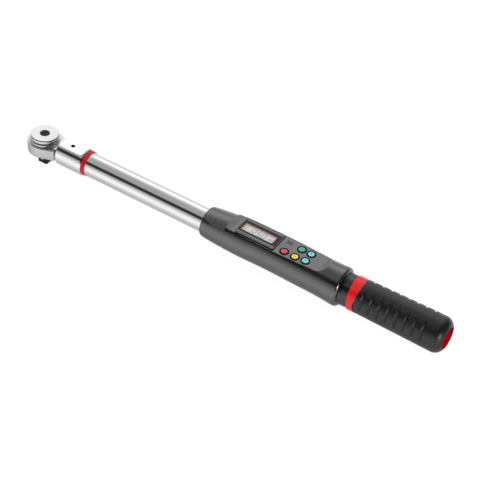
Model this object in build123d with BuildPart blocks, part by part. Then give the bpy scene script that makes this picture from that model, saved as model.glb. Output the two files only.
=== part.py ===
"""Electronic torque and angle wrench with a 1/2 inch square drive.

Millimetres, +Z up. The drive square's tip face lies on Z = 0 with its centre at the origin.
The drive turns about Z, and the long axis of the tool runs along +X at the height AXIS_Z.
"""
from build123d import *
from math import acos, asin, atan2, cos, degrees, hypot, radians, sin
import os

os.makedirs("parts", exist_ok=True)

# ---- the tool as a whole
AXIS_Z = 27.1                 # height of the long axis above the tip of the drive
TUBE_R = 14.0
TUBE_BORE_R = 12.0
TUBE_START = 67.1
TUBE_END = 512.0
RUNNING = 0.06                # radial gap of a running fit
GAP = 0.3                     # gap between pieces that pass each other

# ---- ratchet head, heights from the tip of the drive
HEAD_R = 20.0
HEAD_BOTTOM = 17.6
HEAD_TOP = 31.6
HEAD_END = 23.3
HEAD_END_HALF = 13.0
CAVITY_FLOOR = 20.1
GEAR_R = 11.0
GEAR_TOP = 29.1
GEAR_TEETH = 36
POCKET_R = 16.4
POCKET_HALF_ANGLE = 38.0
NECK_END = 26.0

# ---- drive
DRIVE_SIZE = 12.7
JOURNAL_R = 9.35
UPPER_JOURNAL_R = 7.0
ANVIL_TOP = 34.7
ROD_BORE_R = 2.5
ROD_R = 2.4
BALL_R = 2.4
BALL_Z = 7.0
BALL_PROUD = 0.9
BALL_CENTRE = DRIVE_SIZE / 2 + BALL_PROUD - BALL_R
BALL_SLOPE = 0.38             # inward travel of the ball for each mm of button travel
BUTTON_R = 4.9
BUTTON_TOP = 39.4
BUTTON_UNDER = 37.4
SPRING_SEAT = 26.1
SPRING_POCKET_R = 4.3

# ---- pawl and its detent
PAWL_PIVOT_X = 14.3
PAWL_PIN_R = 1.5
PAWL_INNER_R = 11.6
PAWL_OUTER_R = 15.7
PAWL_HALF_ANGLE = 33.0
PAWL_TILT = 3.5               # the pawl lies tilted to one side of its pivot
PAWL_Z = (20.4, 29.3)
PLUNGER_R = 1.5
PLUNGER_X = (15.95, 19.0)
PLUNGER_BORE_END = 22.8
PLUNGER_Z = 24.8

# ---- cover and reversing dial
COVER_R = 17.6
COVER_TOP = 35.1
DIAL_R = 16.5
DIAL_Z = (35.6, 39.8)
DIAL_BORE_R = 5.2
SKIRT_R = (8.75, 10.55)
SKIRT_BOTTOM = 32.7
PEG_R = 0.5
PEG_RADIUS = 11.9
PEG_BOTTOM = 28.4
PEG_SWING = 15.0              # the dial turns this far to each side of the middle
COVER_SCREW_RADIUS = 14.0

# ---- 14 x 18 tang of the interchangeable head, in its receiver
TANG_DROP = 1.0               # the tang's centre lies this far below the long axis
TANG_WIDTH = 17.9
TANG_HEIGHT = 13.9
TANG_END = 53.5
LATCH_X = 40.7
LATCH_R = 2.45
LATCH_TOP = 12.0              # heights of the latch are from the long axis
LATCH_BOTTOM = 0.2
LATCH_FLOOR = -6.7
RECEIVER_R = 16.0
RECEIVER_START = 26.3
RECEIVER_END = 61.8
RECEIVER_FLAT = 13.5

# ---- measuring beam in the tube
SPIGOT_END = 80.0
BEAM_ROUND_R = 6.0
BEAM_START = 58.0
BEAM_END = 210.0
BEAM_WIDTH = 8.0
BEAM_HEIGHT = 12.0
GAUGE_X = 96.0

# ---- housing: stations along the tool as (position, radius, rise of the centre)
NOSE_STATIONS = ((224.0, 16.9, 0.0), (229.0, 17.9, 0.1), (235.5, 18.7, 0.5), (243.0, 19.5, 1.0),
                 (251.0, 20.1, 1.4))
BODY_STATIONS = ((251.0, 20.1, 1.4), (262.0, 20.8, 1.8), (275.0, 21.2, 2.0), (335.0, 21.2, 1.8),
                 (358.0, 21.0, 1.0), (374.0, 21.1, 0.4), (385.0, 21.6, 0.0), (394.8, 22.2, 0.0))
CHAMBER_STATIONS = ((255.5, 20.3, 1.5), (275.0, 21.2, 2.0), (335.0, 21.2, 1.8), (358.0, 21.0, 1.0),
                    (370.0, 21.0, 0.6))
REAR_CHAMBER_STATIONS = ((374.0, 21.1, 0.4), (391.0, 21.9, 0.0))
NOSE_CHAMBER_STATIONS = ((231.0, 17.1, 0.3), (243.0, 18.5, 1.0), (251.0, 19.1, 1.4))
WALL = 2.2
SEAM_Z = -2.0                 # parting height of the two shells, from the long axis
PANEL_Z = 17.0                # heights in the housing are from the long axis
PANEL_START = 260.5
PANEL_END = 364.0
RAMP_END = 375.0              # the ramp behind the panel has left the housing here
CROWN_STATIONS = ((221.0, 26.0, -10.8), (254.5, 26.0, -7.0))
CREST_STATIONS = ((254.5, 26.0, -7.0), (PANEL_START, 150.0, PANEL_Z - 150.0))
CEILING_Z = PANEL_Z - 2.0
WINDOW_X = (258.0, 368.0)     # where the tube is milled open under the electronics
WINDOW_Z = 10.4
SHELL_SCREW_X = (258.5, 331.0)
SHELL_SCREW_Y = 16.5
SHELL_SCREW_HEAD_Z = -7.5

# ---- display and keys
BEZEL_X = (265.6, 313.6)
BEZEL_HALF = 14.0
BEZEL_HEIGHT = 1.3
SCREEN_X = (268.2, 308.2)
SCREEN_HALF = 6.8
BOARD_Z = (11.3, 12.9)
BOARD_X = (261.0, 365.0)
BOARD_HALF = 11.5
KEY_R = 3.6
KEY_TOP = 18.0
KEY_HOLE_R = 3.9
KEY_FLANGE_R = 4.9
KEY_FLANGE_Z = (14.2, 14.8)
SURROUND_R = 5.25
KEYS = {"key_red": (324.0, -7.9), "key_yellow": (337.0, -8.2), "key_green": (337.4, 6.0),
        "key_up": (348.9, 5.8), "key_down": (348.9, -6.9)}
SLOT_CENTRE = (322.0, 7.4)
SLOT_PITCH = 2.3

# ---- handle
COLLAR_X = (395.2, 408.0)
COLLAR_R = 18.0
RING_R = 18.9
RING_FRONT = ((404.15, 25.0), (407.85, -25.0))    # sloping plane between the collar and the ring
RING_WIDTH = 7.0
RING_TONGUE_END = 415.5
RING_MIDDLE = 406.3           # the ring's front edge a little below the long axis
GRIP_START = 410.0            # hidden inside the ring
GRIP_FRONT_R = 18.6
GRIP_REAR_R = 19.9
GRIP_ROUND_START = 502.5
GRIP_END = 512.6
GRIP_MOUTH_R = 12.6
GROOVES = 8
GROOVE_START = 421.5
GROOVE_PITCH = 9.85
GROOVE_WIDTH = 4.6
GROOVE_DEPTH = 1.3
LAND_ANGLES = (90.0, 210.0, 330.0)
LAND_WIDTH_DEG = 48.0
CELL_R = 7.25
CELL_LENGTH = 50.0
CELLS_START = 404.0
CAP_R = 12.3
CAP_THREAD_R = 10.4
CAP_X = (508.4, 512.9)
CAP_RIM = 0.4
CAP_DOME = 1.6

TOOL_AXIS = Axis((0, 0, AXIS_Z), (1, 0, 0))
TOOL_SIDE = Plane(origin=(0, 0, AXIS_Z), x_dir=(1, 0, 0), z_dir=(0, -1, 0))


def cross_plane(x):
    """Plane across the tool at x: local x runs along +Y and local y along +Z."""
    return Plane(origin=(x, 0, AXIS_Z), x_dir=(0, 1, 0), z_dir=(1, 0, 0))


def level(z):
    """Horizontal plane at the height z above the long axis."""
    return Plane.XY.offset(AXIS_Z + z)


def polar(radius, angle):
    """Point at a radius and an angle in degrees."""
    return (radius * cos(radians(angle)), radius * sin(radians(angle)))


def save(piece, name):
    """Label a finished piece and write its STEP file."""
    piece.part.label = name
    export_step(piece.part, f"parts/{name}.step")


def turned(*points, side=TOOL_SIDE, axis=TOOL_AXIS):
    """Solid of a closed outline of (along, radius) points, turned about the tool's axis."""
    with BuildPart() as solid:
        with BuildSketch(side):
            with BuildLine():
                Polyline(*points, close=True)
            make_face()
        revolve(axis=axis)
    return solid.part


def turned_z(*points):
    """Solid of a closed outline of (radius, height) points, turned about the drive axis."""
    return turned(*points, side=Plane.XZ, axis=Axis.Z)


def ring_sector(inner, outer, half_angle, centre=(0, 0), middle=0.0):
    """Sketch of a ring's sector about `centre`, `half_angle` to each side of `middle`."""
    start = middle - half_angle
    stop = middle + half_angle
    with BuildSketch() as sector:
        with BuildLine():
            CenterArc(centre, outer, start, 2 * half_angle)
            CenterArc(centre, inner, start, 2 * half_angle)
            for angle in (start, stop):
                near = Vector(*centre) + Vector(*polar(inner, angle))
                far = Vector(*centre) + Vector(*polar(outer, angle))
                Line(near, far)
        make_face()
    return sector.sketch


def coil(name, start, direction, length, turns, radius, wire):
    """Helical compression spring with a round wire, written as its own piece."""
    run = Helix(pitch=length / turns, height=length, radius=radius, center=start, direction=direction)
    with BuildPart() as spring:
        with BuildLine():
            add(run)
        with BuildSketch(Plane(origin=run @ 0, z_dir=run % 0)):
            Circle(wire)
        sweep(is_frenet=True)
    save(spring, name)


# ======== ratchet head ========
# The round head tapers along tangents of its circle to the width of the neck.
HEAD_CORNER_ANGLE = degrees(atan2(HEAD_END_HALF, HEAD_END))
TANGENT_ANGLE = HEAD_CORNER_ANGLE + degrees(acos(HEAD_R / hypot(HEAD_END, HEAD_END_HALF)))
with BuildPart() as head_body:
    with BuildSketch(Plane.XY.offset(HEAD_BOTTOM)):
        Circle(HEAD_R)
        with BuildLine():
            Polyline(polar(HEAD_R, TANGENT_ANGLE), (HEAD_END, HEAD_END_HALF), (HEAD_END, -HEAD_END_HALF),
                     polar(HEAD_R, -TANGENT_ANGLE), close=True)
        make_face()
    extrude(amount=HEAD_TOP - HEAD_BOTTOM)
    fillet(head_body.edges().filter_by(Axis.Z), 2.5)
    fillet(head_body.faces().sort_by(Axis.Z)[-1].edges(), 1.4)
    fillet(head_body.faces().sort_by(Axis.Z)[0].edges(), 2.0)
    with Locations((NECK_END / 2 + 10, 0, AXIS_Z - TANG_DROP)):
        Box(NECK_END - 20, TANG_WIDTH + 3, TANG_HEIGHT)
    with Locations(((NECK_END + TANG_END) / 2, 0, AXIS_Z - TANG_DROP)):
        Box(TANG_END - NECK_END, TANG_WIDTH, TANG_HEIGHT)
    chamfer(head_body.faces().sort_by(Axis.X)[-1].edges(), 0.8)
    with BuildSketch(Plane.XY.offset(CAVITY_FLOOR)):
        Circle(GEAR_R + 0.5)
        add(ring_sector(PAWL_INNER_R - 1.5, POCKET_R, POCKET_HALF_ANGLE))
    extrude(amount=HEAD_TOP - CAVITY_FLOOR, mode=Mode.SUBTRACT)
    with BuildSketch(Plane.XY):
        Circle(JOURNAL_R + RUNNING)
    extrude(amount=CAVITY_FLOOR, mode=Mode.SUBTRACT)
    with BuildSketch(Plane.XY.offset(CAVITY_FLOOR - 1.4)):
        with Locations((PAWL_PIVOT_X, 0)):
            Circle(PAWL_PIN_R)
    extrude(amount=1.4, mode=Mode.SUBTRACT)
    with BuildSketch(Plane.XY.offset(HEAD_TOP - 6)):
        with PolarLocations(COVER_SCREW_RADIUS, 3, start_angle=90, angular_range=270):
            Circle(1.5)
    extrude(amount=6, mode=Mode.SUBTRACT)
    with BuildSketch(Plane(origin=(PLUNGER_BORE_END, 0, PLUNGER_Z), z_dir=(-1, 0, 0))):
        Circle(PLUNGER_R + RUNNING)
    extrude(amount=PLUNGER_BORE_END - POCKET_R + 1, mode=Mode.SUBTRACT)
    with BuildSketch(level(LATCH_FLOOR)):
        with Locations((LATCH_X, 0)):
            Circle(LATCH_R + RUNNING)
    extrude(amount=15, mode=Mode.SUBTRACT)
save(head_body, "head_body")

with BuildPart() as drive_anvil:
    with BuildSketch(Plane.XY):
        Rectangle(DRIVE_SIZE, DRIVE_SIZE)
    extrude(amount=HEAD_BOTTOM)
    fillet(drive_anvil.edges().filter_by(Axis.Z), 1.7)
    chamfer(drive_anvil.faces().sort_by(Axis.Z)[0].edges(), 1.2)
    add(turned_z((0, HEAD_BOTTOM), (JOURNAL_R, HEAD_BOTTOM), (JOURNAL_R, CAVITY_FLOOR + 0.2),
                 (0, CAVITY_FLOOR + 0.2)))
    with BuildSketch(Plane.XY.offset(CAVITY_FLOOR + 0.2)):
        Circle(GEAR_R)
        with PolarLocations(GEAR_R, GEAR_TEETH):
            Rectangle(1.1, 1.1, rotation=45, mode=Mode.SUBTRACT)
    extrude(amount=GEAR_TOP - CAVITY_FLOOR - 0.2)
    add(turned_z((0, GEAR_TOP), (UPPER_JOURNAL_R, GEAR_TOP), (UPPER_JOURNAL_R, ANVIL_TOP), (0, ANVIL_TOP)))
    add(turned_z((0, 1.2), (ROD_BORE_R, 1.2), (ROD_BORE_R, SPRING_SEAT), (SPRING_POCKET_R, SPRING_SEAT),
                 (SPRING_POCKET_R, ANVIL_TOP), (0, ANVIL_TOP)), mode=Mode.SUBTRACT)
    with BuildSketch(Plane(origin=(0, 0, BALL_Z), z_dir=(0, -1, 0))):
        Circle(BALL_R + RUNNING)
    extrude(amount=DRIVE_SIZE, mode=Mode.SUBTRACT)
save(drive_anvil, "drive_anvil")

with BuildPart() as detent_ball:
    with Locations((0, -BALL_CENTRE, BALL_Z)):
        Sphere(BALL_R)
save(detent_ball, "detent_ball")

# The rod thins upwards at the ball's slope, so pressing it lets the ball sink.
CONE_AT_BALL = BALL_CENTRE - BALL_R * hypot(1, BALL_SLOPE) - 0.05
CONE_START = BALL_Z - (ROD_R - CONE_AT_BALL) / BALL_SLOPE
CONE_END = BALL_Z + 2.6
CONE_END_R = CONE_AT_BALL - BALL_SLOPE * 2.6
with BuildPart() as release_button:
    add(turned_z((0, 4.0), (ROD_R - 0.4, 4.0), (ROD_R, 4.4), (ROD_R, CONE_START), (CONE_END_R, CONE_END),
                 (CONE_END_R, BALL_Z + 5.2), (ROD_R, BALL_Z + 6.0), (ROD_R, BUTTON_UNDER),
                 (BUTTON_R, BUTTON_UNDER), (BUTTON_R, BUTTON_TOP - 0.5), (BUTTON_R - 0.5, BUTTON_TOP),
                 (3.2, BUTTON_TOP), (2.4, BUTTON_TOP - 0.5), (0, BUTTON_TOP - 0.5)))
save(release_button, "release_button")

coil("button_spring", (0, 0, SPRING_SEAT + 0.4), (0, 0, 1), BUTTON_UNDER - SPRING_SEAT - 0.8, 6, 3.3, 0.35)

with BuildPart() as pawl:
    pawl_plane = Plane(origin=(PAWL_PIVOT_X, 0, PAWL_Z[0])).rotated((0, 0, PAWL_TILT))
    drive_centre = (-PAWL_PIVOT_X, 0)
    with BuildSketch(pawl_plane):
        add(ring_sector(PAWL_INNER_R, PAWL_OUTER_R, PAWL_HALF_ANGLE, drive_centre))
        for tooth_angle in (22.0, 25.5, 29.0, 32.5):
            for side in (-1, 1):
                tooth = Vector(*drive_centre) + Vector(*polar(PAWL_INNER_R, side * tooth_angle))
                with Locations(tooth):
                    Rectangle(0.45, 0.45, rotation=side * tooth_angle + 45, mode=Mode.SUBTRACT)
        Circle(PAWL_PIN_R + RUNNING, mode=Mode.SUBTRACT)
    extrude(amount=PAWL_Z[1] - PAWL_Z[0])
    with BuildSketch(pawl_plane.offset(PEG_BOTTOM - PAWL_Z[0] - 0.5)):
        add(ring_sector(PAWL_INNER_R - 1, PEG_RADIUS + PEG_R + 0.25, PEG_SWING + 4, drive_centre))
    extrude(amount=5, mode=Mode.SUBTRACT)
save(pawl, "pawl")

with BuildPart() as pawl_pin:
    with BuildSketch(Plane.XY.offset(CAVITY_FLOOR - 1.4)):
        with Locations((PAWL_PIVOT_X, 0)):
            Circle(PAWL_PIN_R)
    extrude(amount=HEAD_TOP + 1 - CAVITY_FLOOR + 1.4)
save(pawl_pin, "pawl_pin")

with BuildPart() as pawl_plunger:
    with BuildSketch(Plane(origin=(PLUNGER_X[0], 0, PLUNGER_Z), z_dir=(1, 0, 0))):
        Circle(PLUNGER_R)
    extrude(amount=PLUNGER_X[1] - PLUNGER_X[0])
    fillet(pawl_plunger.faces().sort_by(Axis.X)[0].edges(), 1.0)
save(pawl_plunger, "pawl_plunger")

coil("pawl_spring", (PLUNGER_X[1] + 0.25, 0, PLUNGER_Z), (1, 0, 0), PLUNGER_BORE_END - PLUNGER_X[1] - 0.5,
     5, 1.1, 0.2)

with BuildPart() as head_cover:
    add(turned_z((UPPER_JOURNAL_R + RUNNING, HEAD_TOP), (COVER_R, HEAD_TOP), (COVER_R, COVER_TOP - 0.8),
                 (COVER_R - 0.8, COVER_TOP), (UPPER_JOURNAL_R + RUNNING, COVER_TOP)))
    with BuildSketch(Plane.XY.offset(COVER_TOP)):
        Circle(SKIRT_R[1] + 0.15)
        Circle(SKIRT_R[0] - 0.15, mode=Mode.SUBTRACT)
    extrude(amount=SKIRT_BOTTOM - GAP - COVER_TOP, mode=Mode.SUBTRACT)
    with BuildSketch(Plane.XY.offset(HEAD_TOP)):
        add(ring_sector(PEG_RADIUS - PEG_R - 0.15, PEG_RADIUS + PEG_R + 0.15, PEG_SWING + 4))
    extrude(amount=COVER_TOP - HEAD_TOP, mode=Mode.SUBTRACT)
    with BuildSketch(Plane.XY.offset(HEAD_TOP)):
        with Locations((PAWL_PIVOT_X, 0)):
            Circle(PAWL_PIN_R)
    extrude(amount=1, mode=Mode.SUBTRACT)
    with Locations(Plane.XY.offset(COVER_TOP)):
        with PolarLocations(COVER_SCREW_RADIUS, 3, start_angle=90, angular_range=270):
            CounterBoreHole(radius=1.5, counter_bore_radius=2.5, counter_bore_depth=1.8, depth=10)
save(head_cover, "head_cover")

with BuildPart() as cover_screws:
    screw_plane = Plane.XY.offset(HEAD_TOP - 6)
    with BuildSketch(screw_plane):
        with PolarLocations(COVER_SCREW_RADIUS, 3, start_angle=90, angular_range=270):
            Circle(1.5)
    extrude(amount=COVER_TOP - 1.8 - HEAD_TOP + 6)
    with BuildSketch(Plane.XY.offset(COVER_TOP - 1.8)):
        with PolarLocations(COVER_SCREW_RADIUS, 3, start_angle=90, angular_range=270):
            Circle(2.5)
            RegularPolygon(1.15, 6, mode=Mode.SUBTRACT)
    extrude(amount=1.6)
save(cover_screws, "cover_screws")

with BuildPart() as dial_seal:
    add(turned_z((15.0, COVER_TOP), (16.0, COVER_TOP), (16.0, DIAL_Z[0] - 0.1), (15.0, DIAL_Z[0] - 0.1)))
save(dial_seal, "dial_seal")

with BuildPart() as reverse_dial:
    add(turned_z((DIAL_BORE_R, DIAL_Z[0]), (DIAL_R - 0.6, DIAL_Z[0]), (DIAL_R, DIAL_Z[0] + 0.6),
                 (DIAL_R, DIAL_Z[1] - 0.9), (DIAL_R - 0.9, DIAL_Z[1]), (DIAL_BORE_R + 0.8, DIAL_Z[1]),
                 (DIAL_BORE_R, DIAL_Z[1] - 0.8)))
    add(turned_z((SKIRT_R[0], SKIRT_BOTTOM), (SKIRT_R[1], SKIRT_BOTTOM), (SKIRT_R[1], DIAL_Z[0]),
                 (SKIRT_R[0], DIAL_Z[0])))
    with BuildSketch(Plane.XY.offset(PEG_BOTTOM)):
        with Locations(polar(PEG_RADIUS, -PEG_SWING)):
            Circle(PEG_R)
    extrude(amount=DIAL_Z[0] - PEG_BOTTOM)
save(reverse_dial, "reverse_dial")

# ======== latch of the interchangeable head, receiver and front ring ========
with BuildPart() as latch_pin:
    with BuildSketch(level(LATCH_BOTTOM)):
        with Locations((LATCH_X, 0)):
            Circle(LATCH_R)
    extrude(amount=LATCH_TOP - LATCH_BOTTOM)
    fillet(latch_pin.faces().sort_by(Axis.Z)[-1].edges(), 0.8)
save(latch_pin, "latch_pin")

coil("latch_spring", (LATCH_X, 0, AXIS_Z + LATCH_FLOOR + 0.35), (0, 0, 1), LATCH_BOTTOM - LATCH_FLOOR - 0.7,
     6, 1.8, 0.3)

with BuildPart() as receiver:
    add(turned((RECEIVER_START, 0), (RECEIVER_START, RECEIVER_R - 1), (RECEIVER_START + 1, RECEIVER_R),
               (RECEIVER_END - 1.2, RECEIVER_R), (RECEIVER_END, RECEIVER_R - 1.0),
               (RECEIVER_END, TUBE_BORE_R), (SPIGOT_END - 1, TUBE_BORE_R), (SPIGOT_END, TUBE_BORE_R - 1),
               (SPIGOT_END, 0)))
    with Locations(((RECEIVER_START + TANG_END + 0.6) / 2, 0, AXIS_Z - TANG_DROP)):
        Box(TANG_END + 0.6 - RECEIVER_START, TANG_WIDTH + 0.2, TANG_HEIGHT + 0.2, mode=Mode.SUBTRACT)
    with BuildSketch(TOOL_SIDE):
        with BuildLine():
            flat_line = Line((RECEIVER_START - 1, RECEIVER_FLAT), (RECEIVER_END - 6, RECEIVER_FLAT))
            ramp = TangentArc(flat_line @ 1, (RECEIVER_END - 0.6, RECEIVER_R + 0.4), tangent=(1, 0))
            Polyline(ramp @ 1, (RECEIVER_END - 0.6, 20), (RECEIVER_START - 1, 20), flat_line @ 0)
        make_face()
    extrude(amount=20, both=True, mode=Mode.SUBTRACT)
    with BuildSketch(level(0)):
        with Locations((LATCH_X, 0)):
            Circle(LATCH_R + 0.15)
    extrude(amount=20, mode=Mode.SUBTRACT)
    with BuildSketch(cross_plane(BEAM_START)):
        Circle(BEAM_ROUND_R)
    extrude(amount=SPIGOT_END - BEAM_START, mode=Mode.SUBTRACT)
    with BuildSketch(level(-TUBE_BORE_R)):
        with Locations((RECEIVER_END + 12, 0)):
            Circle(2)
    extrude(amount=2 * TUBE_BORE_R, mode=Mode.SUBTRACT)
save(receiver, "receiver")

with BuildPart() as front_ring:
    add(turned((RECEIVER_END, TUBE_BORE_R), (RECEIVER_END, 14.6), (RECEIVER_END + 0.4, 14.9),
               (TUBE_START - 0.5, 14.5), (TUBE_START, 14.1), (TUBE_START, TUBE_BORE_R)))
save(front_ring, "front_ring")

# ======== tube and measuring beam ========
with BuildPart() as torque_tube:
    with BuildSketch(cross_plane(TUBE_START)):
        Circle(TUBE_R)
        Circle(TUBE_BORE_R, mode=Mode.SUBTRACT)
    extrude(amount=TUBE_END - TUBE_START)
    with Locations((sum(WINDOW_X) / 2, 0, AXIS_Z + WINDOW_Z + 5)):
        Box(WINDOW_X[1] - WINDOW_X[0], 3 * TUBE_R, 10, mode=Mode.SUBTRACT)
save(torque_tube, "torque_tube")

with BuildPart() as sensor_beam:
    with BuildSketch(cross_plane(BEAM_START)):
        Circle(BEAM_ROUND_R)
    extrude(amount=SPIGOT_END + 4 - BEAM_START)
    with BuildSketch(cross_plane(SPIGOT_END + 4)):
        Rectangle(BEAM_WIDTH, BEAM_HEIGHT)
    extrude(amount=BEAM_END - SPIGOT_END - 4)
    with Locations((GAUGE_X, 0, AXIS_Z)):
        Box(16, 3.2, BEAM_HEIGHT, mode=Mode.SUBTRACT)
    with BuildSketch(level(-TUBE_BORE_R)):
        with Locations((RECEIVER_END + 12, 0)):
            Circle(2)
    extrude(amount=2 * TUBE_BORE_R, mode=Mode.SUBTRACT)
save(sensor_beam, "sensor_beam")

with BuildPart() as beam_pin:
    with BuildSketch(level(-TUBE_BORE_R + 0.3)):
        with Locations((RECEIVER_END + 12, 0)):
            Circle(2)
            Circle(1.1, mode=Mode.SUBTRACT)
    extrude(amount=2 * TUBE_BORE_R - 0.6)
save(beam_pin, "beam_pin")

with BuildPart() as beam_support:
    with BuildSketch(cross_plane(BEAM_END - 12)):
        Circle(TUBE_BORE_R)
        Rectangle(BEAM_WIDTH, BEAM_HEIGHT, mode=Mode.SUBTRACT)
        with Locations((0, TUBE_BORE_R - 2.5)):
            Rectangle(7.5, 5, mode=Mode.SUBTRACT)
    extrude(amount=12)
save(beam_support, "beam_support")

with BuildPart() as strain_gauges:
    for side in (-1, 1):
        with Locations((GAUGE_X - 4, side * (BEAM_WIDTH / 2 + 0.1), AXIS_Z),
                       (GAUGE_X + 4, side * (BEAM_WIDTH / 2 + 0.1), AXIS_Z)):
            Box(6, 0.2, 5)
save(strain_gauges, "strain_gauges")

with BuildPart() as gauge_flex:
    with BuildSketch(TOOL_SIDE):
        with BuildLine():
            run = Polyline((GAUGE_X - 8, 6.1), (BEAM_END - 14, 6.1), (BEAM_END - 8, 10.2),
                           (WINDOW_X[0] - 6, 10.2), (WINDOW_X[0] + 4, 11.1), (WINDOW_X[0] + 12, 11.1))
            offset(run, amount=0.1, side=Side.BOTH)
        make_face()
    extrude(amount=3, both=True)
save(gauge_flex, "gauge_flex")


# ======== housing of the electronics ========
def skin(stations, wall=0.0):
    """Solid skinned over the round stations, `wall` inside the surface."""
    with BuildPart() as solid:
        for x, radius, rise in stations:
            with BuildSketch(cross_plane(x)):
                with Locations((0, rise)):
                    Circle(radius - wall)
        loft()
    return solid.part


def chamber(stations):
    """Hollow inside the stations, under the ceiling of the panel."""
    with BuildPart() as hollow:
        add(skin(stations, WALL))
        with Locations((300, 0, AXIS_Z + CEILING_Z + 10)):
            Box(300, 60, 20, mode=Mode.SUBTRACT)
    return hollow.part


def screw_places():
    """Centres of the shell screws."""
    return [(x, side * SHELL_SCREW_Y) for x in SHELL_SCREW_X for side in (-1, 1)]


# Everything above the arched crown of the nose, its crest, the flat panel and the ramp behind it.
with BuildPart() as top_waste:
    with BuildSketch(TOOL_SIDE):
        with BuildLine():
            panel = Line((PANEL_START, PANEL_Z), (PANEL_END, PANEL_Z))
            ramp = TangentArc(panel @ 1, (RAMP_END, PANEL_Z + 5.8), tangent=(1, 0))
            Polyline(ramp @ 1, (RAMP_END, 30), (CROWN_STATIONS[0][0], 30), (CROWN_STATIONS[0][0], 6),
                     (PANEL_START, 6), panel @ 0)
        make_face()
    extrude(amount=30, both=True)
    for stations in (CROWN_STATIONS, CREST_STATIONS):
        add(skin(stations), mode=Mode.SUBTRACT)

with BuildPart() as body_form:
    add(skin(BODY_STATIONS))
    fillet(body_form.faces().sort_by(Axis.X)[-1].edges(), 4.0)
    add(top_waste.part, mode=Mode.SUBTRACT)

with BuildPart() as housing_nose:
    add(skin(NOSE_STATIONS))
    fillet(housing_nose.faces().sort_by(Axis.X)[0].edges(), 1.8)
    add(top_waste.part, mode=Mode.SUBTRACT)
    add(chamber(NOSE_CHAMBER_STATIONS), mode=Mode.SUBTRACT)
    with BuildSketch(cross_plane(NOSE_STATIONS[0][0] - 1)):
        Circle(TUBE_R)
    extrude(amount=40, mode=Mode.SUBTRACT)
save(housing_nose, "housing_nose")


def hollow_shell(boss_bottom, boss_top):
    """Body of the housing with its chambers cut and the screw bosses put back."""
    with BuildPart() as shell:
        add(body_form.part)
        add(chamber(CHAMBER_STATIONS), mode=Mode.SUBTRACT)
        add(chamber(REAR_CHAMBER_STATIONS), mode=Mode.SUBTRACT)
        with BuildSketch(level(boss_bottom)):
            with Locations(*screw_places()):
                Circle(3.9)
        extrude(amount=boss_top - boss_bottom)
        add(body_form.part, mode=Mode.INTERSECT)
        with BuildSketch(cross_plane(BODY_STATIONS[0][0] - 1)):
            Circle(TUBE_R)
        extrude(amount=160, mode=Mode.SUBTRACT)
    return shell.part


with BuildPart() as housing_upper:
    add(hollow_shell(SEAM_Z, 4.0))
    split(bisect_by=level(SEAM_Z), keep=Keep.TOP)
    with BuildSketch(level(SEAM_Z)):
        with Locations(*screw_places()):
            Circle(1.25)
    extrude(amount=5, mode=Mode.SUBTRACT)
    with BuildSketch(level(CEILING_Z - 1)):
        with Locations((sum(SCREEN_X) / 2, 0)):
            Rectangle(SCREEN_X[1] - SCREEN_X[0], 2 * SCREEN_HALF)
        with Locations(*KEYS.values()):
            Circle(KEY_HOLE_R)
        with Locations(SLOT_CENTRE):
            with GridLocations(SLOT_PITCH, 1, 3, 1):
                SlotOverall(5.0, 0.9, rotation=90)
    extrude(amount=5, mode=Mode.SUBTRACT)
save(housing_upper, "housing_upper")

with BuildPart() as housing_lower:
    add(hollow_shell(-18.0, SEAM_Z))
    split(bisect_by=level(SEAM_Z), keep=Keep.BOTTOM)
    with BuildSketch(level(-22)):
        with Locations(*screw_places()):
            Circle(2.7)
    extrude(amount=22 + SHELL_SCREW_HEAD_Z, mode=Mode.SUBTRACT)
    with BuildSketch(level(SHELL_SCREW_HEAD_Z)):
        with Locations(*screw_places()):
            Circle(1.25)
    extrude(amount=10, mode=Mode.SUBTRACT)
save(housing_lower, "housing_lower")

with BuildPart() as housing_screws:
    with BuildSketch(level(SHELL_SCREW_HEAD_Z - 1.6)):
        with Locations(*screw_places()):
            Circle(2.4)
            Rectangle(2.6, 0.7, mode=Mode.SUBTRACT)
            Rectangle(0.7, 2.6, mode=Mode.SUBTRACT)
    extrude(amount=1.6)
    with BuildSketch(level(SHELL_SCREW_HEAD_Z)):
        with Locations(*screw_places()):
            Circle(1.25)
    extrude(amount=10.5)
save(housing_screws, "housing_screws")

# ======== display, board and keys ========
with BuildPart() as lcd_bezel:
    with BuildSketch(level(PANEL_Z)):
        with Locations((sum(BEZEL_X) / 2, 0)):
            RectangleRounded(BEZEL_X[1] - BEZEL_X[0], 2 * BEZEL_HALF, 1.5)
        with Locations((sum(SCREEN_X) / 2, 0)):
            Rectangle(SCREEN_X[1] - SCREEN_X[0], 2 * SCREEN_HALF, mode=Mode.SUBTRACT)
    extrude(amount=BEZEL_HEIGHT)
    chamfer(lcd_bezel.faces().sort_by(Axis.Z)[-1].edges(), 0.5)
save(lcd_bezel, "lcd_bezel")

with BuildPart() as lcd_window:
    with BuildSketch(level(PANEL_Z - 0.5)):
        with Locations((sum(SCREEN_X) / 2, 0)):
            Rectangle(SCREEN_X[1] - SCREEN_X[0], 2 * SCREEN_HALF)
    extrude(amount=0.9)
save(lcd_window, "lcd_window")

with BuildPart() as lcd_module:
    with BuildSketch(level(BOARD_Z[1])):
        with Locations((sum(SCREEN_X) / 2, 0)):
            Rectangle(SCREEN_X[1] - SCREEN_X[0] + 3, 2 * SCREEN_HALF + 6)
    extrude(amount=CEILING_Z - BOARD_Z[1])
    with BuildSketch(level(CEILING_Z)):
        with Locations((sum(SCREEN_X) / 2, 0)):
            Rectangle(SCREEN_X[1] - SCREEN_X[0], 2 * SCREEN_HALF)
    extrude(amount=1.0)
save(lcd_module, "lcd_module")

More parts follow.
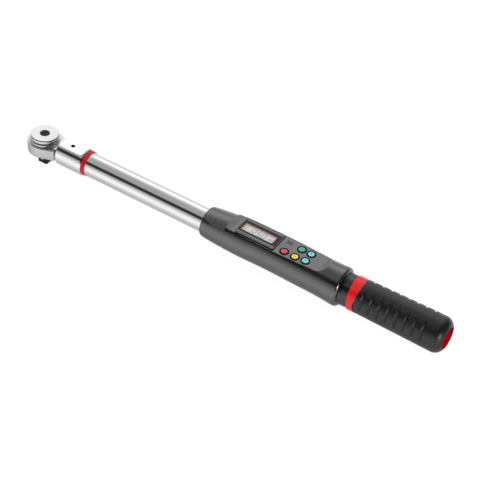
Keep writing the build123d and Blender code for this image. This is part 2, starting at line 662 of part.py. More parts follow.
BOARD_SCREWS = ((263.5, 9.0), (263.5, -9.0), (362.0, 9.0), (362.0, -9.0))
with BuildPart() as main_board:
    with BuildSketch(level(BOARD_Z[0])):
        with Locations((sum(BOARD_X) / 2, 0)):
            RectangleRounded(BOARD_X[1] - BOARD_X[0], 2 * BOARD_HALF, 1.5)
        with Locations(*BOARD_SCREWS):
            Circle(1.0, mode=Mode.SUBTRACT)
    extrude(amount=BOARD_Z[1] - BOARD_Z[0])
save(main_board, "main_board")

with BuildPart() as board_screws:
    with BuildSketch(level(BOARD_Z[1])):
        with Locations(*BOARD_SCREWS):
            Circle(1.9)
    extrude(amount=1.2)
    with BuildSketch(level(BOARD_Z[1])):
        with Locations(*BOARD_SCREWS):
            Circle(1.0)
    extrude(amount=BOARD_Z[0] - BOARD_Z[1] - 0.4)
save(board_screws, "board_screws")

with BuildPart() as board_chips:
    with Locations((315.2, -5.0, AXIS_Z + BOARD_Z[1] + 0.6), (315.2, 4.0, AXIS_Z + BOARD_Z[1] + 0.6)):
        Box(4.4, 6.0, 1.2)
    with Locations((358.0, 0, AXIS_Z + BOARD_Z[1] + 0.6)):
        Box(3.5, 9.0, 1.2)
save(board_chips, "board_chips")

with BuildPart() as buzzer:
    with BuildSketch(level(BOARD_Z[1])):
        with Locations((SLOT_CENTRE[0] + 1.3, SLOT_CENTRE[1])):
            Circle(3.9)
    extrude(amount=1.7)
save(buzzer, "buzzer")

with BuildPart() as key_domes:
    with BuildSketch(level(BOARD_Z[1])):
        with Locations(*KEYS.values()):
            Circle(3.2)
    extrude(amount=0.4)
save(key_domes, "key_domes")

with BuildPart() as key_surrounds:
    with BuildSketch(level(PANEL_Z)):
        with Locations(*KEYS.values()):
            Circle(SURROUND_R)
            Circle(KEY_HOLE_R, mode=Mode.SUBTRACT)
    extrude(amount=0.5)
save(key_surrounds, "key_surrounds")

for key_name, place in KEYS.items():
    with BuildPart() as key:
        with BuildSketch(level(KEY_FLANGE_Z[0])):
            with Locations(place):
                Circle(KEY_FLANGE_R)
        extrude(amount=KEY_FLANGE_Z[1] - KEY_FLANGE_Z[0])
        with BuildSketch(level(KEY_FLANGE_Z[1])):
            with Locations(place):
                Circle(KEY_R)
        extrude(amount=KEY_TOP - KEY_FLANGE_Z[1])
        fillet(key.faces().sort_by(Axis.Z)[-1].edges(), 0.9)
    save(key, key_name)

# ======== handle ========
# Everything in front of the grip ring's rear edge, which reaches back in a tongue on top.
with BuildPart() as ring_zone:
    with BuildSketch(TOOL_SIDE):
        with BuildLine():
            low = Polyline(RING_FRONT[1], (RING_FRONT[1][0] + RING_WIDTH, -25),
                           (RING_MIDDLE + RING_WIDTH, -4))
            tongue = Spline(low @ 1, (RING_TONGUE_END, 17), tangents=((-0.07, 1), (0.2, 1)))
            Polyline(tongue @ 1, (RING_TONGUE_END, 25), RING_FRONT[0], low @ 0)
        make_face()
    extrude(amount=30, both=True)

with BuildPart() as grip_collar:
    add(turned((COLLAR_X[0], TUBE_R), (COLLAR_X[0], COLLAR_R + 0.8), (COLLAR_X[0] + 2.5, COLLAR_R),
               (COLLAR_X[1], COLLAR_R), (COLLAR_X[1], TUBE_R)))
    add(ring_zone.part, mode=Mode.SUBTRACT)
save(grip_collar, "grip_collar")

with BuildPart() as grip_ring:
    add(turned((RING_FRONT[0][0], TUBE_R), (RING_FRONT[0][0], RING_R), (RING_TONGUE_END + 0.5, RING_R),
               (RING_TONGUE_END + 0.5, TUBE_R)))
    add(ring_zone.part, mode=Mode.INTERSECT)
save(grip_ring, "grip_ring")

with BuildPart() as grip_form:
    with BuildSketch(TOOL_SIDE):
        with BuildLine():
            top = Line((GRIP_START, GRIP_FRONT_R), (GRIP_ROUND_START, GRIP_REAR_R))
            shoulder = TangentArc(top @ 1, (GRIP_END, GRIP_MOUTH_R + 0.8), tangent=top % 1)
            Polyline(shoulder @ 1, (GRIP_END, GRIP_MOUTH_R), (TUBE_END + 0.2, GRIP_MOUTH_R),
                     (TUBE_END + 0.2, TUBE_R), (GRIP_START, TUBE_R), top @ 0)
        make_face()
    revolve(axis=TOOL_AXIS)
    add(ring_zone.part, mode=Mode.SUBTRACT)

# The three smooth lands between the grooved sectors of the grip.
with BuildPart() as lands:
    with BuildSketch(cross_plane(GRIP_START)):
        for angle in LAND_ANGLES:
            add(ring_sector(TUBE_R, GRIP_REAR_R + 2, LAND_WIDTH_DEG / 2, middle=angle))
    extrude(amount=120)
    add(grip_form.part, mode=Mode.INTERSECT)

with BuildPart() as grip_sleeve:
    add(grip_form.part)
    for index in range(GROOVES):
        x = GROOVE_START + index * GROOVE_PITCH
        rim = GRIP_REAR_R + 1
        swell = (GRIP_REAR_R - GRIP_FRONT_R) * (x - GRIP_START) / (GRIP_ROUND_START - GRIP_START)
        floor = GRIP_FRONT_R + swell - GROOVE_DEPTH
        half = GROOVE_WIDTH / 2
        groove = turned((x - half, rim), (x - half * 0.35, floor), (x + half * 0.35, floor), (x + half, rim))
        add(groove, mode=Mode.SUBTRACT)
    add(lands.part)
save(grip_sleeve, "grip_sleeve")

with BuildPart() as battery_sleeve:
    with BuildSketch(cross_plane(CELLS_START - 2.5)):
        Circle(TUBE_BORE_R)
        Circle(CELL_R + 0.1, mode=Mode.SUBTRACT)
    extrude(amount=CELLS_START + 2 * CELL_LENGTH - (CELLS_START - 2.5))
save(battery_sleeve, "battery_sleeve")

with BuildPart() as front_contact:
    with BuildSketch(cross_plane(CELLS_START - 2.5)):
        Circle(CELL_R)
    extrude(amount=0.8)
    with BuildSketch(cross_plane(CELLS_START - 1.7)):
        Circle(2.2)
    extrude(amount=0.4)
save(front_contact, "front_contact")

with BuildPart() as battery_cells:
    for index in range(2):
        x = CELLS_START + index * CELL_LENGTH
        add(turned((x, 0), (x, CELL_R - 0.4), (x + 0.4, CELL_R), (x + CELL_LENGTH - 2, CELL_R),
                   (x + CELL_LENGTH - 1.6, CELL_R - 0.4), (x + CELL_LENGTH - 1.6, 0)))
        add(turned((x + CELL_LENGTH - 1.6, 0), (x + CELL_LENGTH - 1.6, 2.7), (x + CELL_LENGTH - 0.1, 2.7),
                   (x + CELL_LENGTH - 0.1, 0)))
save(battery_cells, "battery_cells")

with BuildPart() as end_bushing:
    with BuildSketch(cross_plane(CELLS_START + 2 * CELL_LENGTH)):
        Circle(TUBE_BORE_R)
        Circle(CAP_THREAD_R + 0.1, mode=Mode.SUBTRACT)
    extrude(amount=TUBE_END - (CELLS_START + 2 * CELL_LENGTH))
save(end_bushing, "end_bushing")

DOME_R = (CAP_R ** 2 + CAP_DOME ** 2) / (2 * CAP_DOME)
with BuildPart() as end_cap:
    with BuildSketch(TOOL_SIDE):
        with BuildLine():
            Polyline((CAP_X[1], 0), (CAP_X[0], 0), (CAP_X[0], CAP_THREAD_R), (CAP_X[1] - 0.2, CAP_THREAD_R),
                     (CAP_X[1] - 0.2, CAP_R))
            Line((CAP_X[1] - 0.2, CAP_R), (CAP_X[1] + CAP_RIM, CAP_R))
            dome = CenterArc((CAP_X[1] + CAP_RIM + CAP_DOME - DOME_R, 0), DOME_R, 0,
                             degrees(asin(CAP_R / DOME_R)))
            Line(dome @ 0, (CAP_X[1], 0))
        make_face()
    revolve(axis=TOOL_AXIS)
    with BuildSketch(cross_plane(CAP_X[1] + CAP_RIM + CAP_DOME)):
        Rectangle(2.2, 13)
    extrude(amount=-1.8, mode=Mode.SUBTRACT)
save(end_cap, "end_cap")

with BuildPart() as cap_seal:
    with BuildSketch(cross_plane(TUBE_END)):
        Circle(CAP_R - 0.3)
        Circle(CAP_THREAD_R + 0.1, mode=Mode.SUBTRACT)
    extrude(amount=CAP_X[1] - 0.25 - TUBE_END)
save(cap_seal, "cap_seal")

coil("battery_spring", (CELLS_START + 2 * CELL_LENGTH + 0.4, 0, AXIS_Z), (1, 0, 0),
     CAP_X[0] - CELLS_START - 2 * CELL_LENGTH - 0.8, 3, 5.0, 0.4)
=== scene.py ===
"""Looks of the electronic torque wrench: studio, materials and the pieces that need finer meshes."""
from math import cos, hypot, pi, radians, sin

import bpy
import bmesh
from mathutils import Euler, Matrix, Vector


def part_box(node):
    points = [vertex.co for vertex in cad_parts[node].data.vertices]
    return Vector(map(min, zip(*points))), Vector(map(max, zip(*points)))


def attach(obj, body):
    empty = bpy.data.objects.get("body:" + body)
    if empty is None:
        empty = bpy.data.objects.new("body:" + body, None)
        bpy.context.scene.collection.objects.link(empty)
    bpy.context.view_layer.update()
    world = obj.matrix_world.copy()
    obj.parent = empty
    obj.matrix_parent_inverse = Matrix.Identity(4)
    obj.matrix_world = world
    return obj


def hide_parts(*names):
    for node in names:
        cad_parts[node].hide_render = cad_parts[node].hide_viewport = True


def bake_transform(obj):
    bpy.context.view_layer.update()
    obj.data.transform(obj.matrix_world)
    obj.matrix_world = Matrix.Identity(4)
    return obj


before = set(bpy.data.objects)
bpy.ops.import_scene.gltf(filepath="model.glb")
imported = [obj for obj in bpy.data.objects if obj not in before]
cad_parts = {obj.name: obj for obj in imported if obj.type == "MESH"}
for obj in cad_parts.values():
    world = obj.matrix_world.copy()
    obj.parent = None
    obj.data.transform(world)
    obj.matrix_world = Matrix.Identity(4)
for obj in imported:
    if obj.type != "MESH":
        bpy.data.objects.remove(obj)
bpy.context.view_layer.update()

MM = 0.001
FRAME_BODY = "wrench_frame"
TUBE_LOW, TUBE_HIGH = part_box("torque_tube")
AXIS_Z = (TUBE_LOW[2] + TUBE_HIGH[2]) / 2
HEAD_GAP = 2.9 * MM  # neck seen between the head's bare steel and the receiver, coloured near-black as painted shade in that gap
HEAD_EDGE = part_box("receiver")[0][0] - HEAD_GAP


# ======== materials ========
def new_material(name):
    """A node material with its Principled shader."""
    material = bpy.data.materials.new(name)
    material.use_nodes = True
    return material, material.node_tree, material.node_tree.nodes["Principled BSDF"]


def noise(tree, scale, detail=4.0, stretch=(1, 1, 1)):
    """Noise over the object's own coordinates, `scale` cycles to the metre."""
    place = tree.nodes.new("ShaderNodeTexCoord")
    mapping = tree.nodes.new("ShaderNodeMapping")
    mapping.inputs["Scale"].default_value = stretch
    texture = tree.nodes.new("ShaderNodeTexNoise")
    texture.inputs["Scale"].default_value = scale
    texture.inputs["Detail"].default_value = detail
    tree.links.new(place.outputs["Object"], mapping.inputs["Vector"])
    tree.links.new(mapping.outputs["Vector"], texture.inputs["Vector"])
    return texture.outputs["Fac"]


def coordinates(tree, kind):
    """X, Y and Z outputs of one kind of texture coordinate."""
    place = tree.nodes.new("ShaderNodeTexCoord")
    split = tree.nodes.new("ShaderNodeSeparateXYZ")
    tree.links.new(place.outputs[kind], split.inputs["Vector"])
    return split.outputs


def maths(tree, operation, *values):
    """Result of a maths node over numbers or other nodes' outputs."""
    node = tree.nodes.new("ShaderNodeMath")
    node.operation = operation
    for index, value in enumerate(values):
        if isinstance(value, float):
            node.inputs[index].default_value = value
        else:
            tree.links.new(value, node.inputs[index])
    return node.outputs["Value"]


def spread(tree, value, low, high, start=0.3, stop=0.7):
    """A value mapped from start..stop to low..high."""
    ramp = tree.nodes.new("ShaderNodeMapRange")
    ramp.inputs["From Min"].default_value = start
    ramp.inputs["From Max"].default_value = stop
    ramp.inputs["To Min"].default_value = low
    ramp.inputs["To Max"].default_value = high
    tree.links.new(value, ramp.inputs["Value"])
    return ramp.outputs["Result"]


def bump(tree, shader, height, strength, distance):
    """Bump of a height over the shader's normal."""
    node = tree.nodes.new("ShaderNodeBump")
    node.inputs["Strength"].default_value = strength
    node.inputs["Distance"].default_value = distance
    tree.links.new(height, node.inputs["Height"])
    tree.links.new(node.outputs["Normal"], shader.inputs["Normal"])


def blend(tree, fac, first, second):
    """Two colours mixed by a factor, each given as a colour or as another node's output."""
    mix = tree.nodes.new("ShaderNodeMix")
    mix.data_type = "RGBA"
    for name, colour in (("A", first), ("B", second)):
        if isinstance(colour, tuple):
            mix.inputs[name].default_value = (*colour, 1)
        else:
            tree.links.new(colour, mix.inputs[name])
    tree.links.new(fac, mix.inputs["Factor"])
    return mix.outputs["Result"]


def scaled(colour, share):
    """A colour made darker."""
    return tuple(channel * share for channel in colour)


def metal(name, colour, rough, grain=(1, 1, 1), vary=0.04, depth=0.00001):
    """Bare or plated metal with a faint grain and cloudy roughness."""
    material, tree, shader = new_material(name)
    shader.inputs["Metallic"].default_value = 1.0
    cloud = noise(tree, 60, detail=3.0)
    tree.links.new(blend(tree, cloud, scaled(colour, 0.93), colour), shader.inputs["Base Color"])
    tree.links.new(spread(tree, cloud, rough, rough + vary), shader.inputs["Roughness"])
    bump(tree, shader, noise(tree, 900, detail=2.0, stretch=grain), strength=0.12, distance=depth)
    return material


def plastic(name, colour, rough, grain_scale=2200, depth=0.00006, coat=0.0, specular=0.5, ior=1.5):
    """Moulded plastic or rubber with a fine spark texture and a little colour drift."""
    material, tree, shader = new_material(name)
    shader.inputs["Specular IOR Level"].default_value = specular
    shader.inputs["IOR"].default_value = ior
    shader.inputs["Coat Weight"].default_value = coat
    shader.inputs["Coat Roughness"].default_value = 0.12
    cloud = noise(tree, 45, detail=3.0)
    tree.links.new(blend(tree, cloud, scaled(colour, 0.85), colour), shader.inputs["Base Color"])
    tree.links.new(spread(tree, cloud, rough - 0.04, rough + 0.04), shader.inputs["Roughness"])
    bump(tree, shader, noise(tree, grain_scale, detail=2.0), strength=0.35, distance=depth)
    return material


CHROME = metal("chrome_plate", (0.86, 0.86, 0.87), 0.02, vary=0.035)
SATIN_CHROME = metal("satin_chrome", (0.76, 0.76, 0.77), 0.24, grain=(8, 60, 8), vary=0.08, depth=0.00002)
BLACK_STEEL = metal("black_oxide", (0.035, 0.035, 0.038), 0.32, vary=0.1)
TOOL_STEEL = metal("ground_steel", (0.55, 0.55, 0.56), 0.28, grain=(1, 1, 12), depth=0.00003)
BRASS = metal("brass", (0.78, 0.60, 0.28), 0.25)
CAN = metal("cell_can", (0.62, 0.62, 0.60), 0.3)
RED_PAINT = plastic("red_anodised", (0.66, 0.003, 0.010), 0.3, specular=0.3, depth=0.00002)
RED_PLASTIC = plastic("red_plastic", (0.90, 0.006, 0.010), 0.25, coat=0.3, specular=0.3, depth=0.00002)
CAP_PLASTIC = plastic("cap_plastic", (0.46, 0.001, 0.003), 0.5, specular=0.0)
HOUSING = plastic("housing_plastic", (0.004, 0.004, 0.0045), 0.2, depth=0.00004, ior=2.25)
COLLAR = plastic("collar_plastic", (0.006, 0.006, 0.006), 0.18, depth=0.00002, ior=1.7)
GRIP = plastic("grip_rubber", (0.006, 0.006, 0.006), 0.36, grain_scale=1600, depth=0.00008, ior=1.55)
RUBBER = plastic("black_rubber", (0.010, 0.010, 0.010), 0.55)
SURROUND = plastic("surround_plastic", (0.004, 0.004, 0.004), 0.5, specular=0.1)
BEZEL = plastic("bezel_plastic", (0.003, 0.003, 0.003), 0.25, depth=0.00001, ior=1.38)
BOARD = plastic("solder_mask", (0.02, 0.16, 0.08), 0.35)
CHIP = plastic("epoxy", (0.02, 0.02, 0.02), 0.5)
FILM = plastic("polyimide", (0.55, 0.30, 0.07), 0.3)
NYLON = plastic("nylon", (0.75, 0.75, 0.72), 0.45)
DISPLAY_DARK = plastic("display_mask", (0.015, 0.012, 0.012), 0.3, depth=0.00001)
DISPLAY_PINK = plastic("display_border", (0.84, 0.09, 0.10), 0.35, depth=0.00001)
DISPLAY_PALE = plastic("display_field", (0.84, 0.86, 0.84), 0.35, depth=0.00001)
DISPLAY_INK = plastic("display_ink", (0.20, 0.22, 0.21), 0.4, depth=0.00001)


def window_material():
    """Clear display window."""
    material, tree, shader = new_material("display_window")
    shader.inputs["Roughness"].default_value = 0.05
    shader.inputs["Alpha"].default_value = 0.18
    tint = blend(tree, noise(tree, 40), (0.90, 0.93, 0.90), (1, 1, 1))
    tree.links.new(tint, shader.inputs["Base Color"])
    return material


def head_steel():
    """Satin chrome of the head, with painted shade: near-black on the neck and tang behind it, in the gap
    before the receiver.
    """
    material, tree, shader = new_material("head_steel")
    shader.inputs["Metallic"].default_value = 1.0
    along = coordinates(tree, "Object")["X"]
    # painted shade: the neck and tang in the gap are coloured near-black
    gap_shade_mask = spread(tree, along, 0.0, 1.0, HEAD_EDGE - 0.05 * MM, HEAD_EDGE)
    bare = blend(tree, noise(tree, 50, detail=3.0), (0.58, 0.58, 0.59), (0.66, 0.66, 0.67))
    tree.links.new(blend(tree, gap_shade_mask, bare, (0.02, 0.02, 0.02)), shader.inputs["Base Color"])
    cloud = noise(tree, 90, detail=3.0)
    tree.links.new(spread(tree, cloud, 0.16, 0.26), shader.inputs["Roughness"])
    grain = noise(tree, 700, detail=2.0, stretch=(1, 1, 14))
    bump(tree, shader, grain, strength=0.15, distance=0.00002)
    return material


def dress(obj, material):
    """Give an object one material, in all its slots."""
    if not obj.material_slots:
        obj.data.materials.append(material)
    for piece_slot in obj.material_slots:
        piece_slot.material = material


# CAD nodes that are shown; the nodes that finer pieces replace need no material.
NODE_MATERIALS = {
    "head_body": head_steel(), "head_cover": SATIN_CHROME, "reverse_dial": SATIN_CHROME,
    "receiver": CHROME, "torque_tube": CHROME,
    "drive_anvil": BLACK_STEEL, "latch_pin": BLACK_STEEL, "release_button": BLACK_STEEL,
    "pawl": TOOL_STEEL, "pawl_pin": TOOL_STEEL, "pawl_plunger": TOOL_STEEL, "detent_ball": TOOL_STEEL,
    "cover_screws": TOOL_STEEL, "beam_pin": TOOL_STEEL, "sensor_beam": TOOL_STEEL, "beam_support": TOOL_STEEL,
    "battery_spring": TOOL_STEEL, "housing_screws": TOOL_STEEL, "board_screws": TOOL_STEEL,
    "front_ring": RED_PAINT, "grip_ring": RED_PLASTIC, "end_cap": CAP_PLASTIC,
    "housing_nose": HOUSING, "housing_upper": HOUSING, "housing_lower": HOUSING, "lcd_bezel": HOUSING,
    "grip_collar": COLLAR, "dial_seal": RUBBER, "cap_seal": RUBBER, "key_domes": RUBBER,
    "key_surrounds": SURROUND, "lcd_module": BEZEL, "lcd_window": window_material(),
    "main_board": BOARD, "board_chips": CHIP, "buzzer": CHIP, "strain_gauges": FILM, "gauge_flex": FILM,
    "battery_sleeve": NYLON, "front_contact": BRASS, "end_bushing": BRASS, "battery_cells": CAN,
}
for node_name, node_material in NODE_MATERIALS.items():
    dress(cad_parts[node_name], node_material)


# ======== mesh tools ========
def new_mesh(name, build):
    """A mesh made from a bmesh, which is used up."""
    mesh = bpy.data.meshes.new(name)
    build.to_mesh(mesh)
    build.free()
    return mesh


def new_object(name, data):
    """An object put into the scene."""
    obj = bpy.data.objects.new(name, data)
    bpy.context.scene.collection.objects.link(obj)
    return obj


def piece(name, build, material, body=FRAME_BODY, smooth=True):
    """A finished mesh object, riding on a body unless none is given."""
    bmesh.ops.recalc_face_normals(build, faces=build.faces)
    mesh = new_mesh(name, build)
    for face in mesh.polygons:
        face.use_smooth = smooth
    mesh.materials.append(material)
    obj = new_object(name, mesh)
    if body is not None:
        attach(obj, body)
    return obj


def loops(build, rings, capped=True):
    """Faces between successive rings of points, and over both end rings if capped."""
    rows = [[build.verts.new(point) for point in ring] for ring in rings]
    count = len(rows[0])
    for low, high in zip(rows, rows[1:]):
        for i in range(count):
            j = (i + 1) % count
            build.faces.new((low[i], low[j], high[j], high[i]))
    if capped:
        build.faces.new(rows[0])
        build.faces.new(rows[-1])


def polar(centre, radius, angle):
    """Flat point at a radius and an angle in radians round a centre."""
    return centre[0] + radius * cos(angle), centre[1] + radius * sin(angle)


def turned(build, profile, centre, steps=64):
    """Round body about a vertical line: profile points are (radius, height), from the top down."""
    angles = [2 * pi * i / steps for i in range(steps)]
    rings = []
    for radius, height in profile:
        rings.append([(*polar(centre, radius, angle), height) for angle in angles])
    loops(build, rings)


def prism(build, outline, low, high):
    """Straight prism over a flat outline."""
    top = [build.verts.new((x, y, high)) for x, y in outline]
    bottom = [build.verts.new((x, y, low)) for x, y in outline]
    build.faces.new(top)
    build.faces.new(bottom)
    for i in range(len(outline)):
        j = (i + 1) % len(outline)
        build.faces.new((top[i], bottom[i], bottom[j], top[j]))


def rectangle(x0, x1, y0, y1):
    """Outline of a rectangle."""
    return [(x0, y0), (x1, y0), (x1, y1), (x0, y1)]


def shrunk(x0, x1, y0, y1, by):
    """Sides of a rectangle, each brought in by a length."""
    return x0 + by, x1 - by, y0 + by, y1 - by


def frame_band(build, outer, inner, low, high):
    """Flat frame between two rectangles given as (x0, x1, y0, y1)."""
    a, b = rectangle(*outer), rectangle(*inner)
    for i in range(4):
        j = (i + 1) % 4
        prism(build, [a[i], a[j], b[j], b[i]], low, high)


def arc_band(build, centre, radius, width, start, stop, steps, low, high):
    """Flat curved band between two angles in degrees."""
    angles = [radians(start + (stop - start) * i / steps) for i in range(steps + 1)]
    outer = [polar(centre, radius + width / 2, angle) for angle in angles]
    inner = [polar(centre, radius - width / 2, angle) for angle in angles]
    for i in range(steps):
        prism(build, [outer[i], outer[i + 1], inner[i + 1], inner[i]], low, high)


def fade(value, start, stop):
    """Smooth step from 1 at start to 0 at stop."""
    share = min(max((value - start) / (stop - start), 0.0), 1.0)
    return 1 - share * share * (3 - 2 * share)


# ======== display ========
LAYER = 0.06 * MM  # thickness of each layer of the display's face
LAYERS = (("lcd_mask", DISPLAY_DARK, 0.0, "bezel_plastic"), ("lcd_border", DISPLAY_PINK, 0.3, "lcd_panel"),
          ("lcd_field", DISPLAY_PALE, 2.5, "lcd_panel"))  # each with its inset in millimetres

READING = "1250"  # generic: the photo's digits can't be read
SEGMENTS = {"0": "abcdef", "1": "bc", "2": "abged", "5": "afgcd"}
STROKE, STROKE_GAP = 0.16, 0.02  # shares of a digit's height
DIGIT_WIDTH, DIGIT_HEIGHT = 3.5 * MM, 6.6 * MM
DIGIT_START, DIGIT_PITCH, DIGIT_DROP = 7.5 * MM, 5.6 * MM, 0.3 * MM
POINT_PLACE, POINT_GAP, POINT_SIZE = 2, 1.0 * MM, 0.8 * MM  # decimal point, after the third digit
BAR_COUNT, BAR_START, BAR_PITCH, BAR_WIDTH = 4, 8.6 * MM, 1.3 * MM, 0.8 * MM  # rising bars at the rear
BAR_FOOT, BAR_TOP, BAR_RISE = -2.8 * MM, -1.6 * MM, 1.0 * MM
MARK_SIDES = (3.4 * MM, 5.6 * MM)  # two marks before the digits
MARK_HEIGHTS = ((1.2 * MM, 2.4 * MM), (-2.6 * MM, -1.4 * MM))


def blunt_bar(start, stop, width):
    """Outline of a bar with pointed ends, as in a segment digit."""
    sx, sy = start
    ex, ey = stop
    length = hypot(ex - sx, ey - sy)
    ux, uy = (ex - sx) / length, (ey - sy) / length
    h = width / 2
    return [
        (sx, sy), (sx + (ux - uy) * h, sy + (uy + ux) * h), (ex - (ux + uy) * h, ey - (uy - ux) * h),
        (ex, ey), (ex - (ux - uy) * h, ey - (uy + ux) * h), (sx + (ux + uy) * h, sy + (uy - ux) * h),
    ]


def digit(build, symbol, x, y, low, high):
    """One seven-segment digit whose lower left corner is (x, y)."""
    right, middle, top = x + DIGIT_WIDTH, y + DIGIT_HEIGHT / 2, y + DIGIT_HEIGHT
    ends = {"a": ((x, top), (right, top)), "g": ((x, middle), (right, middle)), "d": ((x, y), (right, y)),
            "f": ((x, middle), (x, top)), "b": ((right, middle), (right, top)),
            "e": ((x, y), (x, middle)), "c": ((right, y), (right, middle))}
    for name in SEGMENTS[symbol]:
        start, stop = (Vector(point) for point in ends[name])
        inset = (stop - start).normalized() * (DIGIT_HEIGHT * STROKE_GAP)
        prism(build, blunt_bar(start + inset, stop - inset, DIGIT_HEIGHT * STROKE), low, high)


def display():
    """Face of the display: dark mask, tinted border, pale field and its digits."""
    (x0, y0, _), (x1, y1, _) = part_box("lcd_window")
    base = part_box("lcd_module")[1][2]
    for index, (name, material, inset, slot) in enumerate(LAYERS):
        build = bmesh.new()
        outline = rectangle(*shrunk(x0, x1, y0, y1, inset * MM))
        prism(build, outline, base + index * LAYER, base + (index + 1) * LAYER)
        piece(name, build, material, smooth=False)
    build = bmesh.new()
    low = base + len(LAYERS) * LAYER
    high = low + LAYER
    start, foot = x0 + DIGIT_START, -DIGIT_HEIGHT / 2
    for index, symbol in enumerate(READING):
        digit(build, symbol, start + index * DIGIT_PITCH, foot - DIGIT_DROP, low, high)
    point = start + POINT_PLACE * DIGIT_PITCH + DIGIT_WIDTH + POINT_GAP
    point_foot = foot - 2 * DIGIT_DROP
    outlines = [rectangle(point, point + POINT_SIZE, point_foot, point_foot + POINT_SIZE)]
    for index in range(BAR_COUNT):
        left = x1 - BAR_START + index * BAR_PITCH
        outlines.append(rectangle(left, left + BAR_WIDTH, BAR_FOOT, BAR_TOP + index * BAR_RISE))
    for mark in MARK_HEIGHTS:
        outlines.append(rectangle(*(x0 + side for side in MARK_SIDES), *mark))
    for outline in outlines:
        prism(build, outline, low, high)
    piece("lcd_digits", build, DISPLAY_INK, smooth=False)


TRIM_FRONT, TRIM_REAR, TRIM_REACH = 0.8 * MM, 1.0 * MM, 2.6 * MM  # from the bezel's ends, beyond the window
TRIM_LAP, TRIM_SINK = 0.05 * MM, 0.1 * MM  # over the window's edge, into the bezel
LINE_INSET, LINE_WIDTH = 1.6 * MM, 0.6 * MM
TRIM_RISE, LINE_RISE = 0.05 * MM, 0.04 * MM  # above the bezel


def bezel_trim():
    """Dark glossy frame round the screen and the fine line outside it."""
    (x0, y0, _), (x1, y1, _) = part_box("lcd_window")
    (left, near, _), (right, far, top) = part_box("lcd_bezel")
    ends = (left + TRIM_FRONT, right - TRIM_REAR)
    build = bmesh.new()
    band = (*ends, y0 - TRIM_REACH, y1 + TRIM_REACH)
    frame_band(build, band, shrunk(x0, x1, y0, y1, TRIM_LAP), top - TRIM_SINK, top + TRIM_RISE)
    line = (*ends, near + LINE_INSET, far - LINE_INSET)
    frame_band(build, line, shrunk(*line, LINE_WIDTH), top - TRIM_SINK, top + LINE_RISE)
    piece("bezel_trim", build, BEZEL, smooth=False)


# ======== keys ========
KEYS = (  # node, body, colour, symbol, slot
    ("key_red", "red_key", (0.86, 0.05, 0.10), "power", "key_red_plastic"),
    ("key_yellow", "yellow_key", (0.98, 0.92, 0.03), "back", "key_yellow_plastic"),
    ("key_green", "green_key", (0.02, 0.55, 0.38), "ring", "key_green_plastic"),
    ("key_up", "up_key", (0.25, 0.86, 0.98), "up", "key_blue_plastic"),
    ("key_down", "down_key", (0.25, 0.86, 0.98), "down", "key_blue_plastic"),
)
KEY_RADIUS = 3.6 * MM
DOME_TIP, DOME_STEPS, DOME_SHARE, DOME_DROP = 0.02 * MM, 9, 0.93, 0.26 * MM
KEY_SIDE = ((-0.10, 0.42), (0.0, 0.75), (0.0, 3.2), (1.3, 3.2), (1.3, 3.75))  # mm outside the radius, mm down
SYMBOL_SINK, SYMBOL_RISE, SYMBOL_SHADE = 0.2 * MM, 0.03 * MM, 0.22

# Symbols in millimetres from the key's middle: (radius, width, from, to, steps) of a band, and outlines.
SYMBOL_BANDS = {"power": (1.3, 0.45, 125, 415, 18), "ring": (1.2, 0.45, 0, 360, 28)}
SYMBOL_OUTLINES = {
    "power": [rectangle(-0.22, 0.22, 0.1, 1.7)],
    "back": [rectangle(-1.5, 1.5, -0.25, 0.25), [(-1.5, 0.0), (-0.3, -1.1), (-0.3, 1.1)]],
    "up": [[(-1.5, -0.9), (0.0, 1.4), (1.5, -0.9), (0.0, -0.2)]],
    "down": [[(-1.5, 0.9), (0.0, -1.4), (1.5, 0.9), (0.0, 0.2)]],
}


def key_cap(node, body, colour, symbol, slot):
    """Domed glossy key with a plain darker symbol."""
    (x0, y0, _), (x1, y1, top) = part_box(node)
    centre = ((x0 + x1) / 2, (y0 + y1) / 2)
    profile = [(DOME_TIP, top)]
    for step in range(1, DOME_STEPS):
        share = step / DOME_STEPS
        profile.append((KEY_RADIUS * share * DOME_SHARE, top - DOME_DROP * share ** 2))
    profile += [(KEY_RADIUS + out * MM, top - down * MM) for out, down in KEY_SIDE]
    build = bmesh.new()
    turned(build, profile, centre)
    gloss = plastic(f"{node}_gloss", colour, 0.16, coat=0.7, depth=0.00001)
    cap = piece(f"{node}_cap", build, gloss, body)
    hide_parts(node)
    build = bmesh.new()
    low, high = top - SYMBOL_SINK, top + SYMBOL_RISE
    if symbol in SYMBOL_BANDS:
        radius, width, start, stop, steps = SYMBOL_BANDS[symbol]
        arc_band(build, centre, radius * MM, width * MM, start, stop, steps, low, high)
    for outline in SYMBOL_OUTLINES.get(symbol, []):
        prism(build, [(centre[0] + x * MM, centre[1] + y * MM) for x, y in outline], low, high)
    ink = plastic(f"{node}_ink", scaled(colour, SYMBOL_SHADE), 0.3, depth=0.00001)
    piece(f"{node}_symbol", build, ink, body, smooth=False)


# ======== grip ========
GRIP_FRONT_R, GRIP_REAR_R, GRIP_MOUTH_R = 18.6 * MM, 19.9 * MM, 12.6 * MM
GRIP_LAP = 1.0 * MM  # the rubber starts this far behind the CAD sleeve's front end
GRIP_TURN_LENGTH, GRIP_TURN_R, GRIP_TURN_ANGLE = 10.1 * MM, 11.1 * MM, 65.5  # rounding of the rear end
GRIP_LIP = ((0.0, 0.4), (0.3, 0.0), (0.6, 0.0))  # mm in from the rear end, mm outside the mouth
GRIP_STEPS, TURN_STEPS, AROUND_STEPS = 250, 24, 300
GROOVES = [(421.5 + 9.85 * index) * MM for index in range(8)]  # X of each finger groove
GROOVE_DEPTH, GROOVE_FLOOR, GROOVE_EDGE = 1.35, 0.25, 1.9  # mm; half widths of its floor and its mouth
PILLOW_RISE, PILLOW_MIDDLE, PILLOW_FLAT, PILLOW_END = 0.25, 456.0, 38.0, 40.5  # mm; ground they are cut in
SECTORS, SECTOR_FULL, SECTOR_END = (30, 150, 270), 29.5, 35.5  # degrees; the grooves stop at smooth lands


